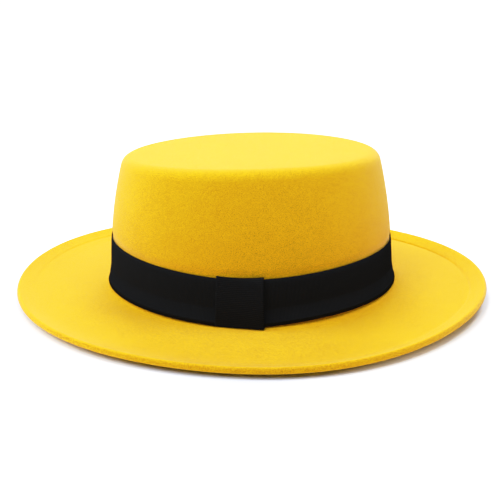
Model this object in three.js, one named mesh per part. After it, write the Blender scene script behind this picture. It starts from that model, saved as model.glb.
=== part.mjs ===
import * as THREE from 'three';

// A felt hat with a flat oval crown and a wide, level brim, trimmed with a grosgrain ribbon
// band and a flat ribbon keeper. Millimetres, +Z up, standing on its brim at z = 0.
// The hat's front is -X, its back +X, and the wearer's left side, with the keeper, is -Y.
// Angles run anticlockwise seen from above, from 0 at the back.

// The crown: an oval at the ribbon's lower edge that narrows as it rises.
const ovalHalfLength = 104;
const ovalHalfWidth = 87.5;
const forwardLean = 0.0117;      // how far the hat leans towards its front for each unit of height
const footFlare = 2.9;           // how far the wall swings out where it meets the brim
const footFlareHeight = 5;       // the height in which most of that flare dies away
const wallHeight = 83.5;         // from the ribbon's lower edge to the start of the top's corner
const wallTaper = 10.9;          // how far the wall leans in over that height, front and back
const wallTaperPower = 2;        // above 1, so that the wall is barrelled
const sideTaper = 7.4;           // what the two long sides lean in beyond that
const cornerRadius = 7.5;        // the rounded edge of the flat top

// The felt's thickness, and how deep the drawn-up ribbon presses into it.
const crownThickness = 2.9;
const brimThickness = 3;
const ribbonPress = 0.9;
const pressEase = 4.5;           // the height in which the felt swells out again above the ribbon

// The brim: level from the crown's fillet to a crease, then a turned-up lip.
const filletReach = 8;
const lipWidth = 11.5;
const restingRimHeight = 5.6;    // where the rim is lower than this, the brim lies flat on the table
const creaseEase = 0.5;          // the softness of the change from lying flat to lifting

// The ribbon, and the keeper folded from a second length of it.
const ribbonHeight = 30.3;
const ribbonThickness = 0.8;
const ribbonProud = 0.25;        // how far the ribbon stands out from the felt above it
const keeperThickness = 0.9;
const keeperFoldRadius = 0.5;
const keeperTuck = 0.2;          // how far its top fold reaches in over the ribbon's edge

// The keeper's front and back edges: where each lies along X, how far it stands away from
// the ribbon, how far it clears the ribbon's upper edge, and where its foot ends above the
// ribbon's lower edge. The front edge lies close, and the back edge stands off.
const keeperEdges = [
  { x: -23.5, stand: 0.35, overTop: 0.4, footLift: 0.5 },
  { x: 7.6, stand: 3, overTop: 0.35, footLift: -0.2 },
];

// The crown's foot and the ribbon dip together beneath the keeper: the middle of the dip along
// X, its depth, and how far it reaches either way.
const keeperDip = { x: -4, depth: 1.3, reach: 26 };

// The level lines of the hat: a mean height, and slow waves around it with the number of
// waves, their height and the angle of a crest.
const footLine = {
  mean: 8.4,
  waves: [{ count: 1, height: 1.84, crest: 45 }, { count: 2, height: 1.75, crest: 0 }],
};
const topLine = {
  mean: 98.9,
  waves: [{ count: 1, height: 2.1, crest: -5 }, { count: 2, height: 1, crest: 90 }],
};
const rimLine = {
  mean: 6.75,
  waves: [
    { count: 1, height: 0.8, crest: -14 },
    { count: 2, height: 2.4, crest: -7 },
    { count: 3, height: 0.5, crest: 4 },
  ],
};
const brimWidth = {
  mean: 61.05,
  waves: [{ count: 2, height: 2.85, crest: -3 }, { count: 4, height: 0.7, crest: 16 }],
};

// How finely the soft forms are cut into facets.
const stations = 72;
const ribbonRows = [0, 0.07, 0.16, 0.3, 0.55, 1];
const wallRows = [0.09, 0.3, 0.5, 0.75, 1];
const innerWallRows = [0, 0.25, 0.5, 0.75, 1];
const topRows = [0.5, 0.9];
const cornerSteps = 4;
const filletSteps = 4;
const rimSteps = 4;
const keeperSteps = 8;

const { cos, sin, exp, hypot, acos, atan2, max, PI } = Math;
const { degToRad, lerp } = THREE.MathUtils;

// A level line's value at an angle. Reach is 1 on the line itself and less towards the
// hat's middle, where the waves die away.
function levelAt(line, angle, reach = 1) {
  let level = line.mean;
  for (const wave of line.waves) {
    level += wave.height * reach ** wave.count * cos(wave.count * (angle - degToRad(wave.crest)));
  }
  return level;
}

// The height of the crown's foot, where the ribbon's lower edge lies.
function footLevel(angle) {
  const fromDip = (ovalHalfLength * cos(angle) - keeperDip.x) / keeperDip.reach;
  const dip = sin(angle) < 0 ? keeperDip.depth * exp(-fromDip * fromDip) : 0;
  return levelAt(footLine, angle) - dip;
}

// A point a given distance outside the oval of the ribbon's lower edge, which leans with the hat.
function ovalPoint(angle, outset, z) {
  const towardsX = ovalHalfWidth * cos(angle);
  const towardsY = ovalHalfLength * sin(angle);
  const scale = outset / hypot(towardsX, towardsY);
  return new THREE.Vector3(
    ovalHalfLength * cos(angle) + scale * towardsX - forwardLean * z,
    ovalHalfWidth * sin(angle) + scale * towardsY,
    z,
  );
}

// How far the crown's wall stands in from that oval, at a height above the ribbon's lower edge.
function wallSetback(angle, rise) {
  const flare = footFlare * (1 - exp(-rise / footFlareHeight));
  const taper = wallTaper * (rise / wallHeight) ** wallTaperPower;
  return flare + taper + sideTaper * (rise / wallHeight) * sin(angle) ** 2;
}

// A point beside the ribbon: row 0 is the ribbon's lower edge, 1 its upper edge.
function ribbonPoint(angle, row, outset) {
  const rise = row * ribbonHeight;
  return ovalPoint(angle, outset - wallSetback(angle, rise), footLevel(angle) + rise);
}

// A point of the wall above the ribbon: row 0 is the ribbon's upper edge, 1 the top's corner.
function wallPoint(angle, row, outset) {
  const low = footLevel(angle) + ribbonHeight;
  const high = levelAt(topLine, angle) - cornerRadius;
  const setback = wallSetback(angle, lerp(ribbonHeight, wallHeight, row));
  return ovalPoint(angle, outset - setback, lerp(low, high, row));
}

// A point of the top's rounded corner, where turn runs from 0 on the wall to a quarter turn.
function cornerPoint(angle, turn, depth) {
  const radius = cornerRadius - depth;
  const inset = wallSetback(angle, wallHeight) + cornerRadius;
  const z = levelAt(topLine, angle) - cornerRadius + radius * sin(turn);
  return ovalPoint(angle, radius * cos(turn) - inset, z);
}

// A point of the flat top, where reach runs from 0 in its middle to 1 at the corner.
function topPoint(angle, reach, depth) {
  const point = cornerPoint(angle, PI / 2, depth).multiplyScalar(reach);
  return point.setZ(levelAt(topLine, angle, reach) - depth);
}

// The height of the brim's underside: on the table where the rim is low, lifted elsewhere.
function brimUnderside(angle) {
  const lift = max(0, levelAt(rimLine, angle) - restingRimHeight);
  return lift * lift / (lift + creaseEase);
}

// The curve by which the crown's outside runs out into the brim's upper face.
function outerFillet(angle) {
  const z = brimUnderside(angle) + brimThickness;
  const start = ribbonPoint(angle, 0, -ribbonPress);
  return new THREE.QuadraticBezierCurve3(start, ovalPoint(angle, 0, z), ovalPoint(angle, filletReach, z));
}

// The same turn on the inside, from the crown's hollow out to the brim's underside.
function innerFillet(angle) {
  const z = brimUnderside(angle);
  const start = ribbonPoint(angle, 0.3, -crownThickness);
  const bend = ovalPoint(angle, -crownThickness - 1, z);
  return new THREE.QuadraticBezierCurve3(start, bend, ovalPoint(angle, filletReach - crownThickness, z));
}

// The brim's crease, a given height above its underside.
function creasePoint(angle, height) {
  return ovalPoint(angle, levelAt(brimWidth, angle) - lipWidth, brimUnderside(angle) + height);
}

// The rounded edge of the lip, where turn runs from its upper side round to its lower side.
function rimPoint(angle, turn) {
  const radius = brimThickness / 2;
  const z = levelAt(rimLine, angle);
  const slope = atan2(z - radius - brimUnderside(angle), lipWidth - radius);
  const outset = levelAt(brimWidth, angle) - radius + radius * cos(turn + slope);
  return ovalPoint(angle, outset, z + radius * sin(turn + slope));
}

// The felt's outer skin as rows of points, each a function of the angle, from the middle of
// the top outwards, down the wall and out along the brim.
function outerRows() {
  const rows = topRows.map((reach) => (angle) => topPoint(angle, reach, 0));
  for (let step = cornerSteps; step >= 0; step--) {
    rows.push((angle) => cornerPoint(angle, PI / 2 * step / cornerSteps, 0));
  }
  for (const row of wallRows.slice(0, -1).reverse()) {
    const rise = (wallHeight - ribbonHeight) * row;
    rows.push((angle) => wallPoint(angle, row, -ribbonPress * max(0, 1 - rise / pressEase)));
  }
  for (const row of [...ribbonRows].reverse()) {
    rows.push((angle) => ribbonPoint(angle, row, -ribbonPress));
  }
  for (let step = 1; step <= filletSteps; step++) {
    rows.push((angle) => outerFillet(angle).getPoint(step / filletSteps));
  }
  rows.push((angle) => creasePoint(angle, brimThickness));
  for (let step = 0; step <= rimSteps; step++) {
    rows.push((angle) => rimPoint(angle, PI / 2 - PI * step / rimSteps));
  }
  return rows;
}

// The inner skin, from the rim back along the underside, up into the hollow and to its middle.
function innerRows() {
  const rows = [(angle) => creasePoint(angle, 0)];
  for (let step = filletSteps; step >= 0; step--) {
    rows.push((angle) => innerFillet(angle).getPoint(step / filletSteps));
  }
  for (const row of innerWallRows) {
    rows.push((angle) => wallPoint(angle, row, -crownThickness));
  }
  for (const turn of [PI / 4, PI / 2]) {
    rows.push((angle) => cornerPoint(angle, turn, crownThickness));
  }
  rows.push((angle) => topPoint(angle, topRows[0], crownThickness));
  return rows;
}

function solid(points, faces) {
  const geometry = new THREE.BufferGeometry().setFromPoints(points);
  geometry.setIndex(faces);
  geometry.computeVertexNormals();
  return geometry;
}

// The faces of a strip between two loops of points, given where each loop starts.
function stripFaces(upper, lower, count) {
  const faces = [];
  for (let k = 0; k < count; k++) {
    const next = (k + 1) % count;
    faces.push(upper + k, lower + k, upper + next);
    faces.push(upper + next, lower + k, lower + next);
  }
  return faces;
}

function loopPoints(rows) {
  const angles = Array.from({ length: stations }, (_, k) => 2 * PI * k / stations);
  return rows.flatMap((row) => angles.map(row));
}

// Crown and brim: one piece of blocked felt, hollow underneath.
function feltBody() {
  const rows = [...outerRows(), ...innerRows()];
  const points = loopPoints(rows);
  const faces = rows.slice(1).flatMap((_, i) => stripFaces(i * stations, (i + 1) * stations, stations));
  const outerMiddle = points.push(new THREE.Vector3(0, 0, topLine.mean)) - 1;
  const innerMiddle = points.push(new THREE.Vector3(0, 0, topLine.mean - crownThickness)) - 1;
  const lastRow = (rows.length - 1) * stations;
  for (let k = 0; k < stations; k++) {
    const next = (k + 1) % stations;
    faces.push(outerMiddle, k, next);
    faces.push(innerMiddle, lastRow + next, lastRow + k);
  }
  return solid(points, faces);
}

// The ribbon: a closed band drawn round the foot of the crown.
function ribbonBand() {
  const outer = ribbonRows.map((row) => (angle) => ribbonPoint(angle, row, ribbonProud)).reverse();
  const inner = ribbonRows.map((row) => (angle) => ribbonPoint(angle, row, ribbonProud - ribbonThickness));
  const rows = [...outer, ...inner];
  const faces = rows.flatMap((_, i) => stripFaces(i * stations, (i + 1) % rows.length * stations, stations));
  return solid(loopPoints(rows), faces);
}

// One upright section of the keeper, as a closed loop of points: up its inner face and over
// the top fold, then back along its outer face. Across runs from 0 at its front edge to 1.
function keeperSection(across) {
  const [front, back] = keeperEdges;
  const cornerOf = (edge, row) => ribbonPoint(-acos(edge.x / ovalHalfLength), row, ribbonProud + edge.stand);
  const between = (name) => lerp(front[name], back[name], across);
  const foot = cornerOf(front, 0).lerp(cornerOf(back, 0), across);
  const headFront = cornerOf(front, 1);
  const headBack = cornerOf(back, 1);
  const inwards = new THREE.Vector3(headFront.y - headBack.y, headBack.x - headFront.x, 0).normalize();
  const head = headFront.lerp(headBack, across);
  const tuckedEnd = ribbonPoint(-acos(head.x / ovalHalfLength), 1, -keeperTuck);
  const foldDepth = tuckedEnd.sub(head).dot(inwards);
  const lineAt = (outset) => {
    const top = between('overTop') + outset;
    const place = (base, inset, up) =>
      base.clone().addScaledVector(inwards, inset - outset).setZ(base.z + up);
    const line = [place(foot, 0, between('footLift'))];
    for (const turn of [0, PI / 4, PI / 2]) {
      line.push(place(head, keeperFoldRadius * (1 - cos(turn)), top - keeperFoldRadius * (1 - sin(turn))));
    }
    line.push(place(head, foldDepth + outset, top));
    return line;
  };
  return [...lineAt(0), ...lineAt(keeperThickness).reverse()];
}

// The keeper: a flat length of ribbon drawn straight down over the band and folded over the
// band's upper edge.
function ribbonKeeper() {
  const sections = [];
  for (let step = 0; step <= keeperSteps; step++) {
    sections.push(keeperSection(step / keeperSteps));
  }
  const count = sections[0].length;
  const faces = sections.slice(1).flatMap((_, i) => stripFaces((i + 1) * count, i * count, count));
  const backSection = keeperSteps * count;
  for (let i = 0; i < count / 2 - 1; i++) {
    const [here, next, beyond, facing] = [i, i + 1, count - 2 - i, count - 1 - i];
    faces.push(here, beyond, next, here, facing, beyond);
    faces.push(backSection + here, backSection + next, backSection + beyond);
    faces.push(backSection + here, backSection + beyond, backSection + facing);
  }
  return solid(sections.flat(), faces);
}

function piece(name, geometry, material) {
  const mesh = new THREE.Mesh(geometry, material);
  mesh.name = name;
  return mesh;
}

const feltMaterial = new THREE.MeshStandardMaterial({ color: '#f2c531', roughness: 0.95, metalness: 0 });
const bandMaterial = new THREE.MeshStandardMaterial({ color: '#141416', roughness: 0.7, metalness: 0 });
const keeperMaterial = new THREE.MeshStandardMaterial({ color: '#16161a', roughness: 0.65, metalness: 0 });

const hat = new THREE.Group();
hat.add(piece('felt_body', feltBody(), feltMaterial));
hat.add(piece('ribbon_band', ribbonBand(), bandMaterial));
hat.add(piece('ribbon_keeper', ribbonKeeper(), keeperMaterial));

// The origin lies on the table under the middle of the whole hat.
const middle = new THREE.Box3().setFromObject(hat).getCenter(new THREE.Vector3());
hat.position.set(-middle.x, -middle.y, 0);

export default hat;
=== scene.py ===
import math

import bpy
import numpy as np
from mathutils import Matrix, Vector


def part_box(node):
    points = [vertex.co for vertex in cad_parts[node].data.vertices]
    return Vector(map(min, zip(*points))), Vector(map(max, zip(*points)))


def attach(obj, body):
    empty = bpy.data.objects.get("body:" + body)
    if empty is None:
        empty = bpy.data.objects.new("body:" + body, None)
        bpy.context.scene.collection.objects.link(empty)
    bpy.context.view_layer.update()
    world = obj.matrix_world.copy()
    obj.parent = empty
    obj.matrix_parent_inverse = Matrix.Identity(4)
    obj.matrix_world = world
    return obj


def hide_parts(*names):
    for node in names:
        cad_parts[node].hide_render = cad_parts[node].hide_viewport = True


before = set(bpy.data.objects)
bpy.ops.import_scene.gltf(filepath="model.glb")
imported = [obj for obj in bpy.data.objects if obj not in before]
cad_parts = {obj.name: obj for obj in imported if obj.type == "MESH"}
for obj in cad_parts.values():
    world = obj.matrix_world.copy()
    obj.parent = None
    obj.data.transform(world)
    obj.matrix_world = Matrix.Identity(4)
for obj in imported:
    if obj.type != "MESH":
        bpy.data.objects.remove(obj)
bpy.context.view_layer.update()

# A wide-brim felt hat on a pale studio floor. Shapes are worked out in millimetres in the frame
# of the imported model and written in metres. Angles run anticlockwise from above, from 0 at the
# hat's back, which is at +x.
mm = 0.001
_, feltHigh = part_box("felt_body")
_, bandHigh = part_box("ribbon_band")
keeperLow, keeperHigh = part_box("ribbon_keeper")
print("stage: frame loaded")


# camera: it looks at the hat's left side from a little above
view = {
    "target": (-1.3, 0.0, 25.04),   # mm
    "distance": 567.42,             # mm
    "elevation": 19.69,             # degrees above the floor
    "roll": 0.19,                   # degrees
    "lens": 56.12,                  # mm
    "sensor": 36,                   # mm
    "sees": (0.01, 100),            # m, from and to
}


def makeCamera():
    data = bpy.data.cameras.new("camera")
    data.sensor_width = view["sensor"]
    data.lens = view["lens"]
    data.clip_start, data.clip_end = view["sees"]
    camera = bpy.data.objects.new("camera", data)
    tilt = math.radians(view["elevation"])
    roll = math.radians(view["roll"])
    back = Vector((0, -math.cos(tilt), math.sin(tilt)))
    level = Vector((1, 0, 0))
    right = level * math.cos(roll) + back.cross(level) * math.sin(roll)
    up = back.cross(right)
    turn = Matrix((right, up, back)).transposed().to_4x4()
    place = (Vector(view["target"]) + back * view["distance"]) * mm
    camera.matrix_world = Matrix.Translation(place) @ turn
    bpy.context.scene.collection.objects.link(camera)
    bpy.context.scene.camera = camera


makeCamera()


# shader maths: plain expressions that turn into nodes
class Wire:
    # a socket that can be added, multiplied and so on

    def __init__(self, kit, socket):
        self.kit = kit
        self.socket = socket

    def math(self, operation, *others):
        inputs = dict(enumerate((self, *others)))
        return self.kit.node("ShaderNodeMath", {"operation": operation}, inputs)

    def __add__(self, other):
        return self.math("ADD", other)

    __radd__ = __add__

    def __sub__(self, other):
        return self.math("SUBTRACT", other)

    def __rsub__(self, other):
        return self.kit.node("ShaderNodeMath", {"operation": "SUBTRACT"}, {0: other, 1: self})

    def __mul__(self, other):
        return self.math("MULTIPLY", other)

    __rmul__ = __mul__

    def __pow__(self, other):
        return self.math("POWER", other)


class Kit:
    # builds the nodes of one material

    def __init__(self, name):
        self.material = bpy.data.materials.new(name)
        self.material.use_nodes = True
        self.tree = self.material.node_tree
        self.tree.nodes.clear()

    def node(self, kind, settings, inputs, output=0):
        made = self.tree.nodes.new(kind)
        for key, value in settings.items():
            setattr(made, key, value)
        for key, value in inputs.items():
            if isinstance(value, Wire):
                self.tree.links.new(value.socket, made.inputs[key])
            else:
                made.inputs[key].default_value = value
        return Wire(self, made.outputs[output]) if len(made.outputs) else None

    # the object's own coordinates, in metres
    def place(self):
        return self.node("ShaderNodeTexCoord", {}, {}, output="Object")

    # this node's colour sockets are known by number: share 0, low 6, high 7 and result 2
    def mixColour(self, low, high, share, blend="MIX"):
        settings = {"data_type": "RGBA", "blend_type": blend}
        return self.node("ShaderNodeMix", settings, {0: share, 6: low, 7: high}, output=2)

    def part(self, vector, axis):
        return self.node("ShaderNodeSeparateXYZ", {}, {0: vector}, output=axis)

    # size is in mm
    def noise(self, vector, size, detail, roughness):
        scale = 1 / (size * mm)
        settings = {"noise_dimensions": "3D"}
        inputs = {"Vector": vector, "Scale": scale, "Detail": detail, "Roughness": roughness}
        return self.node("ShaderNodeTexNoise", settings, inputs)

    # a soft step from 0 at the low end to 1 at the high one
    def limited(self, value, low, high):
        settings = {"interpolation_type": "SMOOTHSTEP"}
        return self.node("ShaderNodeMapRange", settings, {0: value, 1: low, 2: high, 3: 0.0, 4: 1.0})

    def attribute(self, name):
        return self.node("ShaderNodeAttribute", {"attribute_name": name}, {}, output="Fac")

    def bump(self, height, strength, distance):
        inputs = {"Height": height, "Strength": strength, "Distance": distance}
        return self.node("ShaderNodeBump", {}, inputs)

    def finish(self, inputs):
        shader = self.node("ShaderNodeBsdfPrincipled", {}, inputs)
        self.node("ShaderNodeOutputMaterial", {}, {"Surface": shader})
        return self.material


# stage: the floor, the white backdrop and the lamps
stage = {
    "floorSize": 30.0,                 # m
    "floorColour": (0.86, 0.86, 0.87, 1),
    "paintedShadowTint": (0.74, 0.79, 0.94, 1),        # painted shadow: a bluish floor colour under and just around the hat, which takes the yellow out of the hat's shadow there
    "floorRoughness": 0.9,
    "floorShine": 0.1,
    "paintedGlow": 0.45,                      # painted light: the floor glows, but not under and just around the hat, which paints the edge of the hat's contact shadow
    "glowReach": 0.1,                  # share of the brim's size over which it comes in
    "glowPower": 1.7,                  # 2 follows the brim, less comes in closer at four corners
    "farGlow": 0.25,                   # further out, so that the floor ends in plain white
    "farReach": (1.3, 4.0),            # from and to, as times the brim's size
    "worldColour": (1.0, 1.0, 1.0, 1),
    "worldStrength": 1.4,
    # distant light: where it comes from, how high and how wide it is (degrees), how strong
    "suns": {
        "back": (90, 25, 50, 1.040),
        "left": (205, 50, 25, 0.180),
        "leftFront": (225, 50, 25, 0.090),
        "leftHigh": (225, 70, 25, 0.140),
    },
    # soft boxes: where they hang and their side (m), how strong
    "boxes": {
        "topBox": ((0, 0, 0.5), 0.25, 0.520),
        "backTopBox": ((0, 0.3, 0.5), 0.4, 0.200),
        "leftTopBox": ((-0.3, 0, 0.5), 0.18, 0.370),
        "rightTopBox": ((0.3, 0, 0.5), 0.2, 0.560),
        "leftBox": ((-0.5, 0, 0.3), 0.4, 0.584),
        "rightBox": ((0.5, 0, 0.3), 0.4, 0.110),
    },
    "boxAim": (0, 0, 0.05),
}


def floorMaterial():
    kit = Kit("floor")
    place = kit.place()
    # 1 at the brim's front, back and sides, slightly more between them
    power = stage["glowPower"]
    along = kit.part(place, "X").math("ABSOLUTE") * (1 / feltHigh.x)
    across = kit.part(place, "Y").math("ABSOLUTE") * (1 / feltHigh.y)
    fromHat = (along**power + across**power) ** (1 / power)
    # painted shadow: this mask is 0 under and just around the hat and 1 further out. Near the hat
    # the floor's glow is held back and its colour turns bluish, which paints the edge and the tint
    # of the hat's contact shadow
    paintedShadowFade = kit.limited(fromHat, 1.0, 1.0 + stage["glowReach"])
    far = kit.limited(fromHat, *stage["farReach"])
    paintedGlow = paintedShadowFade * stage["paintedGlow"] + far * stage["farGlow"]
    return kit.finish({
        "Base Color": kit.mixColour(stage["paintedShadowTint"], stage["floorColour"], paintedShadowFade),
        "Roughness": stage["floorRoughness"],
        "Specular IOR Level": stage["floorShine"],
        "Emission Color": kit.mixColour((0, 0, 0, 1), (1, 1, 1, 1), paintedGlow),
        "Emission Strength": 1.0,
    })


def makeStage():
    half = stage["floorSize"] / 2
    corners = [(-half, -half, 0), (half, -half, 0), (half, half, 0), (-half, half, 0)]
    mesh = bpy.data.meshes.new("floor")
    mesh.from_pydata(corners, [], [(0, 1, 2, 3)])
    mesh.materials.append(floorMaterial())
    floor = bpy.data.objects.new("floor", mesh)
    bpy.context.scene.collection.objects.link(floor)

    # the world is a plain white backdrop that gives no light
    world = bpy.data.worlds.new("world")
    bpy.context.scene.world = world
    world.use_nodes = True
    background = world.node_tree.nodes["Background"]
    background.inputs["Color"].default_value = stage["worldColour"]
    background.inputs["Strength"].default_value = stage["worldStrength"]
    for ray in ("diffuse", "glossy", "transmission", "scatter"):
        setattr(world.cycles_visibility, ray, False)


def placeLamp(data, place, aim):
    lamp = bpy.data.objects.new(data.name, data)
    lamp.location = place
    lamp.rotation_euler = (place - aim).to_track_quat("Z", "Y").to_euler()
    bpy.context.scene.collection.objects.link(lamp)
    return lamp


# strengths are what a white surface facing the lamp would show
def makeLamps():
    for name, (bearing, height, width, strength) in stage["suns"].items():
        data = bpy.data.lights.new(name, "SUN")
        data.energy = strength * math.pi
        data.angle = math.radians(width)
        bearing, height = math.radians(bearing), math.radians(height)
        level = math.cos(height)
        place = (math.cos(bearing) * level, math.sin(bearing) * level, math.sin(height))
        placeLamp(data, Vector(place), Vector())
    aim = Vector(stage["boxAim"])
    for name, (place, side, strength) in stage["boxes"].items():
        data = bpy.data.lights.new(name, "AREA")
        data.shape = "SQUARE"
        data.size = side
        place = Vector(place)
        data.energy = strength * math.pi**2 * (place - aim).length_squared
        placeLamp(data, place, aim).visible_camera = False


# the tones are kept as they are up to a light grey and roll off softly into white
exposure = {
    "black": 0.0022,          # the faintest grey that a lit room gives to black
    "white": 1.4,
    "straight": [0.175, 0.35, 0.525, 0.7],
    "rollOff": [(0.9, 0.8), (1.05, 0.885), (1.2, 0.96)],
}


def setTones():
    settings = bpy.context.scene.view_settings
    settings.view_transform = "Standard"
    settings.use_curve_mapping = True
    mapping = settings.curve_mapping
    mapping.white_level = [exposure["white"]] * 3
    points = mapping.curves[3].points          # the curve for all three colours
    points[0].location = (0, exposure["black"])
    for bright, shown in [(level, level) for level in exposure["straight"]] + exposure["rollOff"]:
        points.new(bright / exposure["white"], shown)
    mapping.update()


makeStage()
makeLamps()
setTones()
print("stage: camera, floor and lamps made")


# the hat's form, in millimetres, which the felt and both ribbons share
bandStand = 0.25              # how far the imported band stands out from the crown's oval
form = {
    "halfLength": bandHigh.x / mm - bandStand,      # the oval at the ribbon's lower edge
    "halfWidth": bandHigh.y / mm - bandStand,
    "lean": 0.0117,           # how far the hat leans forwards for each mm of height
    "footFlare": 2.9,         # how far the wall swings out at its foot
    "footFlareHeight": 5,     # the height in which most of that dies away
    "wallHeight": 83.5,       # from the ribbon's lower edge to the top's corner
    "wallTaper": 10.9,        # how far the wall leans in over that height
    "wallTaperPower": 2,      # above 1 the wall is barrelled
    "sideTaper": 7.4,         # what the two long sides lean in beyond that
    "crownThickness": 2.9,
    "brimThickness": 3,
    "ribbonHeight": 30.3,
    "ribbonPress": 0.9,       # how deep the ribbon presses into the felt
    "pressEase": 5.5,         # the height in which the felt swells out again above it
    "filletReach": 8,         # how far the crown's foot runs out onto the brim
    "innerFilletRow": 0.3,    # how far up the ribbon it starts on the inside, 1 is all the way
    "innerFilletBend": 1,     # how much tighter it is there
    "lipWidth": 11.5,
    "restingRimHeight": 5.6,  # where the rim is lower than this, the brim lies on the floor
    "creaseEase": 0.5,        # the softness of the change from lying to lifting
}
# the ribbon's dip beneath the keeper
keeperDip = {"x": -4, "depth": 1.3, "reach": 26}
# level lines around the hat: a mean, and waves with their count, height and crest (degrees)
footLine = {"mean": 8.4, "waves": [(1, 1.84, 45), (2, 1.75, 0)]}
topLine = {"mean": 98.83, "waves": [(1, 2.2, 2), (2, 0.83, 90)]}
cornerRadius = {"mean": 8.3, "waves": [(1, 0.9, -99), (2, 0.9, 84), (3, 0.2, -11)]}
# how far the ribbon's two edges wander from an even width
ribbonTop = {
    "mean": -0.09,
    "waves": [(1, 0.94, 170), (2, 0.21, 22), (3, 0.42, -53), (4, 0.13, -38)],
}
ribbonFoot = {
    "mean": -0.51,
    "waves": [(1, 0.17, 34), (2, 0.75, 89), (3, 0.18, 29), (4, 0.64, 36)],
}
# its upper edge also sags beside the keeper: where and how far to each side (degrees), how deep
ribbonSag = {"crest": -92, "reach": 22, "depth": 1.1}
rimLine = {"mean": 6.75, "waves": [(1, 0.8, -14), (2, 2.4, -7), (3, 0.5, 4)]}
# the brim's width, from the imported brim's, a little less and a little less uneven
widestBrim = feltHigh.x / mm - form["halfLength"]
narrowestBrim = feltHigh.y / mm - form["halfWidth"]
brimTrim, brimEvening = 0.05, 0.3
brimLine = {
    "mean": (widestBrim + narrowestBrim) / 2 - brimTrim,
    "waves": [
        (1, 0.4, 92),
        (2, (widestBrim - narrowestBrim) / 2 - brimEvening, -2),
        (3, 0.58, -55),
        (4, 0.22, 0),
        (5, 0.85, 1),
    ],
}


# the height of a level line; a reach under 1 is nearer to the middle of the hat
def levelAt(line, angle, reach=1.0):
    level = np.full_like(angle, line["mean"])
    for count, height, crest in line["waves"]:
        level += height * reach**count * np.cos(count * (angle - math.radians(crest)))
    return level


# the ribbon's lower edge
def footLevel(angle):
    fromDip = (form["halfLength"] * np.cos(angle) - keeperDip["x"]) / keeperDip["reach"]
    dip = np.where(np.sin(angle) < 0, keeperDip["depth"] * np.exp(-fromDip**2), 0)
    return levelAt(footLine, angle) + levelAt(ribbonFoot, angle) - dip


# the ribbon's upper edge
def ribbonTopLevel(angle):
    fromSag = np.degrees(np.angle(np.exp(1j * (angle - math.radians(ribbonSag["crest"])))))
    sag = ribbonSag["depth"] * np.exp(-((fromSag / ribbonSag["reach"]) ** 2))
    return levelAt(footLine, angle) + form["ribbonHeight"] + levelAt(ribbonTop, angle) - sag


# a point a given distance outside the oval of the ribbon's lower edge
def ovalPoint(angle, outset, z):
    towardsX = form["halfWidth"] * np.cos(angle)
    towardsY = form["halfLength"] * np.sin(angle)
    scale = outset / np.hypot(towardsX, towardsY)
    x = form["halfLength"] * np.cos(angle) + scale * towardsX - form["lean"] * z
    y = form["halfWidth"] * np.sin(angle) + scale * towardsY
    return np.stack([x, y, z + 0 * angle], -1)


# how far the wall stands in from the oval at a height above the ribbon's lower edge
def wallSetback(angle, rise):
    up = rise / form["wallHeight"]
    flare = form["footFlare"] * (1 - np.exp(-rise / form["footFlareHeight"]))
    taper = form["wallTaper"] * up ** form["wallTaperPower"]
    return flare + taper + form["sideTaper"] * up * np.sin(angle) ** 2


# how far the wall leans in at its top, from upright
def wallLean(angle):
    taper = form["wallTaper"] * form["wallTaperPower"] + form["sideTaper"] * np.sin(angle) ** 2
    return np.arctan(taper / form["wallHeight"])


# row 0 is the ribbon's lower edge, 1 its upper edge
def ribbonPoint(angle, row, outset):
    rise = row * form["ribbonHeight"]
    low, high = footLevel(angle), ribbonTopLevel(angle)
    return ovalPoint(angle, outset - wallSetback(angle, rise), low + (high - low) * row)


# row 0 is the ribbon's upper edge, 1 the start of the top's corner
def wallPoint(angle, row, outset):
    low = ribbonTopLevel(angle)
    high = levelAt(topLine, angle) - levelAt(cornerRadius, angle) * (1 - np.sin(wallLean(angle)))
    rise = form["ribbonHeight"] + (form["wallHeight"] - form["ribbonHeight"]) * row
    return ovalPoint(angle, outset - wallSetback(angle, rise), low + (high - low) * row)


# row 0 is the wall's top, 1 the edge of the flat top
def cornerPoint(angle, row, depth):
    wide = levelAt(cornerRadius, angle)
    lean = wallLean(angle)
    turn = lean + (math.pi / 2 - lean) * row
    radius = wide - depth
    inset = wallSetback(angle, form["wallHeight"]) + wide * np.cos(lean)
    z = levelAt(topLine, angle) - wide + radius * np.sin(turn)
    return ovalPoint(angle, radius * np.cos(turn) - inset, z)


# the flat top, from its middle (reach 0) to the corner (1)
def topPoint(angle, reach, depth):
    point = cornerPoint(angle, 1, depth) * reach
    point[:, 2] = levelAt(topLine, angle, reach) - depth
    return point


def brimUnderside(angle):
    lift = np.maximum(0, levelAt(rimLine, angle) - form["restingRimHeight"])
    return lift * lift / (lift + form["creaseEase"])


# a curve from start to end that is drawn towards bend
def bezier(start, bend, end, t):
    return start * (1 - t) ** 2 + bend * 2 * t * (1 - t) + end * t * t


def outerFillet(angle, t):
    z = brimUnderside(angle) + form["brimThickness"]
    start = ribbonPoint(angle, 0, -form["ribbonPress"])
    return bezier(start, ovalPoint(angle, 0, z), ovalPoint(angle, form["filletReach"], z), t)


def innerFillet(angle, t):
    z = brimUnderside(angle)
    thickness = form["crownThickness"]
    start = ribbonPoint(angle, form["innerFilletRow"], -thickness)
    bend = ovalPoint(angle, -thickness - form["innerFilletBend"], z)
    return bezier(start, bend, ovalPoint(angle, form["filletReach"] - thickness, z), t)


# a soft step from 0 to 1
def eased(t):
    t = np.clip(t, 0, 1)
    return t * t * (3 - 2 * t)


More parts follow.
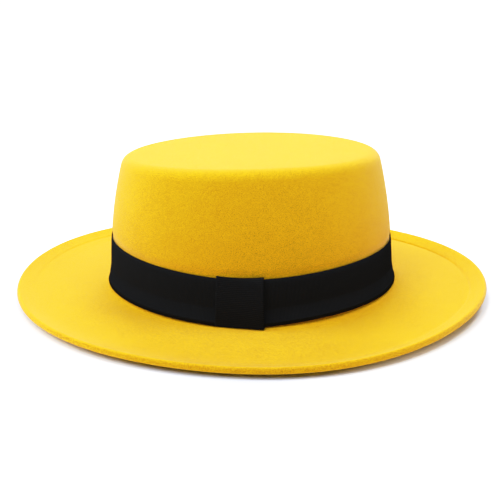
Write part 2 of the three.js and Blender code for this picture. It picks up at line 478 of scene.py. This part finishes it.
# the felt, crown and brim in one piece
felt = {
    "stations": 540,           # steps around the hat
    "topRows": 13,             # steps across each part of the outside
    "cornerRows": 14,
    "wallRows": 44,
    "wallCrowding": 1.4,       # above 1 its rows lie closer together at its foot
    "ribbonRows": (0.9, 0.75, 0.55, 0.38, 0.24, 0.13, 0.05),     # down the felt behind the ribbon
    "filletRows": 10,
    "brimRows": 20,
    "lipRows": 16,
    "lipCrowding": 1.25,
    "rimRows": 12,
    "insideRows": 8,           # steps across each part of the inside and underside
    "insideCornerRows": 6,
    "insideTopRows": 5,
    "edgeSquareness": (2.0, 3.2),     # above and below: 2 is a round cut edge, more is squarer
    "edgeSwellReach": 5,       # mm of lip over which the edge thickens
    "swellAbove": 0.5,         # the thickening's share above the lip, and below it
    "swellBelow": 1.5,
    "pressedLine": 0.95,       # mm, half the width of the pressed line along the lip
    "brimOnset": 2.5,          # how quickly the brim's own shape takes over from the fillet
    "edgeToneFade": 0.5,       # under 1 the cut edge's tone spreads further towards its two sides
}
# how softly the brim turns up into the lip, how deep the pressed line there is, and how much
# the edge thickens
turnSoftness = {"mean": 2.9, "waves": [(1, -2.4, 10), (2, -0.7, 90)]}
lineDepth = {"mean": 0.45, "waves": [(1, 0.43, 46)]}
edgeSwell = {"mean": 0.32, "waves": [(1, 0.26, -62)]}


# 0 well before the crease, then a straight rise, with a soft turn between
def softRise(along, softness):
    return softness * np.logaddexp(0, along / softness)


# the brim and lip's lower face (height 0) or upper face, by distance from the crease
def brimSection(angle, along, height):
    radius = form["brimThickness"] / 2
    run = form["lipWidth"] - radius
    level = brimUnderside(angle)
    softness = levelAt(turnSoftness, angle)
    steepness = (levelAt(rimLine, angle) - radius - level) / softRise(run, softness)
    slope = np.arctan(steepness / (1 + np.exp(-along / softness)))
    swelling = levelAt(edgeSwell, angle) * eased((along - run) / felt["edgeSwellReach"] + 1)
    if height:
        line = np.exp(-((along / felt["pressedLine"]) ** 2)) * levelAt(lineDepth, angle)
        height = height + felt["swellAbove"] * swelling - line
    else:
        height = -felt["swellBelow"] * swelling
    outset = levelAt(brimLine, angle) - form["lipWidth"] + along - np.sin(slope) * height
    z = level + steepness * softRise(along, softness) + np.cos(slope) * height
    return ovalPoint(angle, outset, z)


# from the fillet's end (0) to the crease (1)
def brimPoint(angle, t, height):
    start = form["filletReach"] - (0 if height else form["crownThickness"])
    crease = levelAt(brimLine, angle) - form["lipWidth"]
    along = (start - crease) * (1 - t)
    flat = brimUnderside(angle) + height
    point = brimSection(angle, along, height)
    level = ovalPoint(angle, start + (crease - start) * t, flat)
    return level + (point - level) * eased(t * felt["brimOnset"])


# from the crease (0) to where the cut edge starts (1)
def lipPoint(angle, t, height):
    run = form["lipWidth"] - form["brimThickness"] / 2
    return brimSection(angle, t * run, height)


# the cut edge, from the lip's upper face (90 degrees) to its lower face (-90)
def rimPoint(angle, turn):
    run = form["lipWidth"] - form["brimThickness"] / 2
    above = brimSection(angle, run, form["brimThickness"])
    below = brimSection(angle, run, 0)
    middle = (above + below) / 2
    outwards = ovalPoint(angle, 1, 0) - ovalPoint(angle, 0, 0)
    up = np.array([0, 0, 1.0])
    across = (above - below) / 2
    tall = across @ up
    lean = -(across * outwards).sum(1)
    length = np.hypot(tall, lean)
    ahead = (outwards * tall[:, None] + up * lean[:, None]) / length[:, None]
    power = 2 / felt["edgeSquareness"][0 if turn >= 0 else 1]
    forward = form["brimThickness"] / 2 * abs(math.cos(turn)) ** power
    sideways = math.copysign(abs(math.sin(turn)) ** power, math.sin(turn))
    return middle + ahead * forward + across * sideways


# a shallow dent in the crown just above the keeper, in mm: how far above the ribbon, half its
# width up and down, and where it starts and ends
dent = {"rise": 2.9, "width": 1.05, "depth": 0.75, "fromX": -25, "toX": 5, "fade": 6}


def dentDepth(angle, rise):
    x = form["halfLength"] * np.cos(angle)
    along = eased((x - dent["fromX"]) / dent["fade"]) * eased((dent["toX"] - x) / dent["fade"])
    across = math.exp(-(((rise - dent["rise"]) / dent["width"]) ** 2))
    return dent["depth"] * across * np.where(np.sin(angle) < 0, along, 0)


# loops from the middle of the top, down the outside, round the brim's edge and back up inside
def feltRows(angle):
    rows = []
    inside = felt["insideRows"]
    for step in range(1, felt["topRows"]):
        rows.append(topPoint(angle, step / felt["topRows"], 0))
    for step in range(felt["cornerRows"], -1, -1):
        rows.append(cornerPoint(angle, step / felt["cornerRows"], 0))
    for step in range(felt["wallRows"] - 1, -1, -1):
        row = (step / felt["wallRows"]) ** felt["wallCrowding"]
        rise = (form["wallHeight"] - form["ribbonHeight"]) * row
        press = form["ribbonPress"] * (1 - eased(rise / form["pressEase"]))
        rows.append(wallPoint(angle, row, -press - dentDepth(angle, rise)))
    for row in felt["ribbonRows"]:
        rows.append(ribbonPoint(angle, row, -form["ribbonPress"]))
    for step in range(felt["filletRows"]):
        rows.append(outerFillet(angle, step / felt["filletRows"]))
    for step in range(felt["brimRows"]):
        rows.append(brimPoint(angle, step / felt["brimRows"], form["brimThickness"]))
    for step in range(felt["lipRows"]):
        along = (step / felt["lipRows"]) ** felt["lipCrowding"]
        rows.append(lipPoint(angle, along, form["brimThickness"]))
    upper = len(rows)
    for step in range(felt["rimRows"] + 1):
        rows.append(rimPoint(angle, math.pi / 2 - math.pi * step / felt["rimRows"]))
    edgeRows = (upper, len(rows))
    for step in range(inside - 1, -1, -1):
        rows.append(lipPoint(angle, step / inside, 0))
    for step in range(inside - 1, 0, -1):
        rows.append(brimPoint(angle, step / inside, 0))
    for step in range(inside, -1, -1):
        rows.append(innerFillet(angle, step / inside))
    for step in range(inside + 1):
        rows.append(wallPoint(angle, step / inside, -form["crownThickness"]))
    for step in range(2, felt["insideCornerRows"] + 1):
        rows.append(cornerPoint(angle, step / felt["insideCornerRows"], form["crownThickness"]))
    for step in range(felt["insideTopRows"] - 1, 0, -1):
        rows.append(topPoint(angle, step / felt["insideTopRows"], form["crownThickness"]))
    return rows, edgeRows


# a closed skin through loops of points, with a middle point at both ends
def skinFaces(rowCount, stations):
    k = np.arange(stations)
    after = (k + 1) % stations
    faces = []
    for row in range(rowCount - 1):
        here, below = row * stations, (row + 1) * stations
        faces += np.stack([here + k, below + k, below + after, here + after], -1).tolist()
    first, last = rowCount * stations, rowCount * stations + 1
    end = (rowCount - 1) * stations
    faces += np.stack([np.full_like(k, first), k, after], -1).tolist()
    faces += np.stack([np.full_like(k, last), end + after, end + k], -1).tolist()
    return faces


def makePiece(name, points, faces, material, replaced):
    mesh = bpy.data.meshes.new(name)
    mesh.from_pydata((points * mm).tolist(), [], faces)
    mesh.shade_smooth()
    mesh.materials.append(material)
    piece = bpy.data.objects.new(name, mesh)
    bpy.context.scene.collection.objects.link(piece)
    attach(piece, "root")
    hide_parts(replaced)
    return piece


# a value for each point, which the material reads by name
def giveValues(piece, name, values):
    attribute = piece.data.attributes.new(name, "FLOAT", "POINT")
    attribute.data.foreach_set("value", values.astype(np.float32))


feltFinish = {
    "darkFibre": (0.46, 0.240, 0.0, 1),
    "lightFibre": (0.96, 0.528, 0.005, 1),
    # noises: their size (mm), detail and roughness
    "grain": (0.40, 3, 0.7),
    "clouds": (16, 3, 0.55),
    "cloudShare": 0.04,       # of the mottling that is clouds, the rest is grain
    "mottleRange": (0.35, 0.65),
    "cutEdgePaintedLight": 0.19,         # how much paler the cut edge is painted: painted light for the light that the floor in front throws onto it
    "cutShade": (0.70, 0.60, 0.40, 1),      # the hollows between the fibres along it
    "speckle": (1 / 1.4, 2, 0.7),
    "speckleRange": (0.4, 0.62),
    "roughness": 0.9,
    "shine": 0.05,
    "napStrength": 0.75,
    "napHeight": 0.0004,      # m
    "sheen": 0.34,
    "sheenRoughness": 0.36,
    "sheenTint": (1, 0.9, 0.72, 1),
}


def feltMaterial():
    kit = Kit("felt")
    look = feltFinish
    place = kit.place()
    grain = kit.noise(place, *look["grain"])
    clouds = kit.noise(place, *look["clouds"])
    cut = kit.attribute("cutEdge")
    fibres = grain * (1 - look["cloudShare"]) + clouds * look["cloudShare"]
    # painted light: the cut edge is made paler, standing in for the light that the floor in front
    # throws onto it
    mottle = kit.limited(fibres + cut * look["cutEdgePaintedLight"], *look["mottleRange"])
    colour = kit.mixColour(look["darkFibre"], look["lightFibre"], mottle)
    speckle = kit.limited(kit.noise(place, *look["speckle"]), *look["speckleRange"])
    shaded = kit.mixColour(colour, look["cutShade"], cut * (1 - speckle), "MULTIPLY")
    nap = kit.bump(grain, look["napStrength"], look["napHeight"])
    return kit.finish({
        "Base Color": shaded,
        "Roughness": look["roughness"],
        "Specular IOR Level": look["shine"],
        "Sheen Weight": look["sheen"],
        "Sheen Roughness": look["sheenRoughness"],
        "Sheen Tint": look["sheenTint"],
        "Normal": nap,
    })


def makeFelt():
    stations = felt["stations"]
    angle = np.linspace(0, 2 * math.pi, stations, endpoint=False)
    rows, edgeRows = feltRows(angle)
    middle = [[0, 0, topLine["mean"]], [0, 0, topLine["mean"] - form["crownThickness"]]]
    points = np.concatenate([*rows, middle])
    faces = skinFaces(len(rows), stations)
    material = feltMaterial()
    piece = makePiece("felt_hat", points, faces, material, "felt_body")
    # the cutEdge value marks the cut edge, which the felt's material paints paler (painted light)
    # and speckles darker
    cut = np.zeros(len(points))
    first, last = edgeRows[0], edgeRows[1] - 1
    for row in range(*edgeRows):
        tone = max(0, math.sin(math.pi * (row - first) / (last - first))) ** felt["edgeToneFade"]
        cut[row * stations:(row + 1) * stations] = tone
    giveValues(piece, "cutEdge", cut)


makeFelt()
print("stage: felt made")


# the ribbon band, in millimetres
band = {
    "ribPitch": 0.9,
    "pointsPerRib": 4,
    "ribHeight": 0.07,
    "thickness": 0.5,
    "proud": 0.2,            # how far it stands outside the felt above it
    "edgeScallop": 0.05,     # how far the ribs' ends wave up and down along its two edges
    "edgeShort": 0.1,        # how far those edges fall short of its full height
    "edgeInset": 0.12,       # how far they turn in
    "rows": 9,
    "backRows": (0.0, 0.5, 1.0),      # from the lower edge to the upper
}
ribbonFinish = {
    "dark": (0.0047, 0.0052, 0.0060, 1),
    "bandLight": (0.0092, 0.0100, 0.0113, 1),
    "keeperLight": (0.0096, 0.0103, 0.0120, 1),
    # noises: their size (mm), detail and roughness
    "thread": (1 / 3, 2, 0.5),
    "wear": (100 / 9, 3, 0.5),
    "toneShares": (0.5, 0.3, 0.2),      # of ribs, thread and wear
    "toneRange": (0.2, 0.8),
    "weaveShares": (0.6, 0.4),          # of ribs and thread
    "weaveStrength": 0.35,
    "weaveHeight": 0.0001,              # m
    "roughness": 0.62,
    "shine": 0.0,
}


def ribbonMaterial(name, light):
    kit = Kit(name)
    look = ribbonFinish
    place = kit.place()
    ribs = (kit.attribute("ribPhase") * (2 * math.pi)).math("SINE") * 0.5 + 0.5
    thread = kit.noise(place, *look["thread"])
    wear = kit.noise(place, *look["wear"])
    ofRibs, ofThread, ofWear = look["toneShares"]
    tone = kit.limited(ribs * ofRibs + thread * ofThread + wear * ofWear, *look["toneRange"])
    ofRibs, ofThread = look["weaveShares"]
    weave = ribs * ofRibs + thread * ofThread
    return kit.finish({
        "Base Color": kit.mixColour(look["dark"], light, tone),
        "Roughness": look["roughness"],
        "Specular IOR Level": look["shine"],
        "Normal": kit.bump(weave, look["weaveStrength"], look["weaveHeight"]),
    })


def makeBand():
    girth = math.pi * (form["halfLength"] + form["halfWidth"])
    ribs = round(girth / band["ribPitch"])
    stations = ribs * band["pointsPerRib"]
    angle = np.linspace(0, 2 * math.pi, stations, endpoint=False)
    # even steps along the ribbon rather than in angle
    loop = ribbonPoint(angle, 0.5, 0)
    steps = np.linalg.norm(np.roll(loop, -1, 0) - loop, axis=1)
    travelled = np.concatenate([[0], np.cumsum(steps)])
    wanted = np.arange(stations) * travelled[-1] / stations
    angle = np.interp(wanted, travelled, np.append(angle, 2 * math.pi))
    phase = np.arange(stations) / band["pointsPerRib"]
    wave = np.cos(2 * math.pi * phase)
    rows = []
    for step in range(band["rows"] + 1):
        row = 1 - step / band["rows"]
        point = ribbonPoint(angle, row, band["proud"] + band["ribHeight"] * wave)
        if step in (0, band["rows"]):
            outwards = 1 if step == 0 else -1
            point[:, 2] += outwards * (band["edgeScallop"] * wave - band["edgeShort"])
            point[:, :2] *= 1 - band["edgeInset"] / form["halfWidth"]
        rows.append(point)
    for row in band["backRows"]:
        rows.append(ribbonPoint(angle, row, band["proud"] - band["thickness"]))
    count = len(rows)
    points = np.concatenate(rows)
    k = np.arange(stations)
    after = (k + 1) % stations
    faces = []
    for i in range(count):
        here, below = i * stations, (i + 1) % count * stations
        faces += np.stack([here + k, below + k, below + after, here + after], -1).tolist()
    material = ribbonMaterial("band_ribbon", ribbonFinish["bandLight"])
    piece = makePiece("ribbon_band_woven", points, faces, material, "ribbon_band")
    giveValues(piece, "ribPhase", np.tile(phase, count))


makeBand()
print("stage: band made")


# the keeper, in millimetres: a strap of ribbon folded over the band's upper edge and in under
# its lower one
keeper = {
    "columns": 28,
    "ribPitch": 1.25,
    "pointsPerRib": 6,
    "ribHeight": 0.06,
    "thickness": 0.6,
    "frontInset": 0.25,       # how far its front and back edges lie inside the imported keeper's
    "backInset": 0.26,
    "frontStand": 0.35,       # how far those edges stand off the band
    "backStand": 3.0,
    "overTop": 0.4,           # how far it clears the band's upper edge
    "cornerLift": 0.6,        # how far the two upper corners stand higher than the middle
    "headHeight": 6,          # the height over which its head leans back
    "headDepth": 2.3,         # how far it leans
    "headShare": 0.6,         # how much of the room that it has there it takes at most
    "foldShare": 0.4,         # how much of the rest the fold behind takes
    "tuck": 2.5,              # how far the top end runs down behind the band
    "tuckGap": 0.15,          # how far it stays off the band there
    "bow": 0.25,              # how far the strap bows outwards between its ends
    "footLift": 0.3,          # how much higher the front corner of the foot sits
    "footDrop": 0.35,         # how far the foot hangs below the band
    "footRadius": 0.9,
    "footRun": 0.2,           # how far the foot runs in past that turn at least
    "turnPoints": 6,          # steps in the path around the fold and the foot
    "headPoints": 16,
    "straightPoints": 8,
}


# an arc of points around a middle, as (depth, level), between two angles
def arc(middle, wide, tall, start, end, count):
    depth, level = middle
    turns = np.linspace(start, end, count)
    return [(depth + wide * math.cos(turn), level + tall * math.sin(turn)) for turn in turns]


# one column of the strap: its foot and head on the outside, which way is inwards, and how far
# in the band lies behind the head and the foot
def keeperColumn(across):
    frontX = keeperLow.x / mm + keeper["frontInset"]
    backX = keeperHigh.x / mm - keeper["backInset"]

    def onBand(x, row, stand):
        angle = -np.arccos(np.array([x / form["halfLength"]]))
        return ribbonPoint(angle, row, band["proud"] + stand)[0]

    def between(row):
        return (
            onBand(frontX, row, keeper["frontStand"]) * (1 - across)
            + onBand(backX, row, keeper["backStand"]) * across
        )

    foot, head = between(0), between(1)
    line = onBand(backX, 1, keeper["backStand"]) - onBand(frontX, 1, keeper["frontStand"])
    inwards = np.array([-line[1], line[0], 0])
    inwards /= np.linalg.norm(inwards)
    headDepth = (onBand(head[0], 1, 0) - head) @ inwards
    footDepth = (onBand(foot[0], 0, 0) - foot) @ inwards
    return foot, head, inwards, headDepth, footDepth


# the strap's middle line seen from its edge, as (depth from the outside, level)
def keeperPath(top, low, headDepth, footDepth):
    behind = headDepth + band["thickness"] + keeper["tuckGap"]
    lean = min(keeper["headDepth"], keeper["headShare"] * behind)
    fold = keeper["foldShare"] * (behind - lean)
    tall, curl, turn = keeper["headHeight"], keeper["footRadius"], keeper["turnPoints"]
    path = [(behind, top - keeper["tuck"])]
    path += arc((behind - fold, top - fold), fold, fold, 0, math.pi / 2, turn)
    path += arc((lean, top - tall), lean, tall, math.pi / 2, math.pi, keeper["headPoints"])
    fall = top - tall - (low + curl)
    for t in np.linspace(0, 1, keeper["straightPoints"])[1:-1]:
        path.append((-keeper["bow"] * math.sin(math.pi * t), top - tall - fall * t))
    path += arc((curl, low + curl), curl, curl, math.pi, 1.5 * math.pi, turn)
    path.append((max(footDepth, curl + keeper["footRun"]), low))
    return np.array(path)


def makeKeeper():
    half = keeper["thickness"] / 2
    width = keeper["columns"] + 1
    columns = []
    for across in np.linspace(0, 1, width):
        foot, head, inwards, headDepth, footDepth = keeperColumn(across)
        top = head[2] + keeper["overTop"] + keeper["cornerLift"] * (2 * across - 1) ** 2
        low = foot[2] + keeper["footLift"] * (1 - across) - keeper["footDrop"]
        columns.append((foot, head, inwards, top, low, keeperPath(top, low, headDepth, footDepth)))
    # the same number of points down every column, at even steps along the strap
    lengths = [np.linalg.norm(np.diff(column[-1], axis=0), axis=1).sum() for column in columns]
    count = round(max(lengths) / keeper["ribPitch"]) * keeper["pointsPerRib"] + 1
    phase = np.arange(count) / keeper["pointsPerRib"]
    rib = keeper["ribHeight"] * np.cos(2 * math.pi * phase)
    sides = ([], [])
    for foot, head, inwards, top, low, path in columns:
        travelled = np.append(0, np.cumsum(np.linalg.norm(np.diff(path, axis=0), axis=1)))
        wanted = np.linspace(0, travelled[-1], count)
        depth = np.interp(wanted, travelled, path[:, 0])
        level = np.interp(wanted, travelled, path[:, 1])
        ahead = np.gradient(np.stack([depth, level], -1), axis=0)
        ahead /= np.linalg.norm(ahead, axis=1)[:, None]
        share = np.clip((level - low) / (top - low), 0, 1)[:, None]
        base = foot * (1 - share) + head * share
        # the outside has the ribs, and the inside is plain
        for side, lift in zip(sides, (half + rib, np.full(count, -half))):
            point = base + inwards * (depth + ahead[:, 1] * lift + half)[:, None]
            point[:, 2] = level - ahead[:, 0] * lift
            side.append(point)
    points = np.concatenate([np.concatenate(side) for side in sides])

    def index(side, column, row):
        return (side * width + column) * count + row

    faces = []
    for column in range(width - 1):
        for row in range(count - 1):
            a, b = index(0, column, row), index(0, column + 1, row)
            faces.append((a, a + 1, b + 1, b))
            a, b = index(1, column, row), index(1, column + 1, row)
            faces.append((a, b, b + 1, a + 1))
    for row in range(count - 1):
        for column, order in ((0, 1), (width - 1, -1)):
            a, b = index(0, column, row), index(1, column, row)
            faces.append((a, b, b + 1, a + 1)[::order])
    for column in range(width - 1):
        for row, order in ((0, -1), (count - 1, 1)):
            a, b = index(0, column, row), index(1, column, row)
            faces.append((a, b, b + count, a + count)[::order])
    name, slot = "ribbon_keeper_folded", "keeper_ribbon"
    material = ribbonMaterial(slot, ribbonFinish["keeperLight"])
    piece = makePiece(name, points, faces, material, "ribbon_keeper")
    giveValues(piece, "ribPhase", np.tile(phase, 2 * width))


makeKeeper()
print("stage: keeper made")
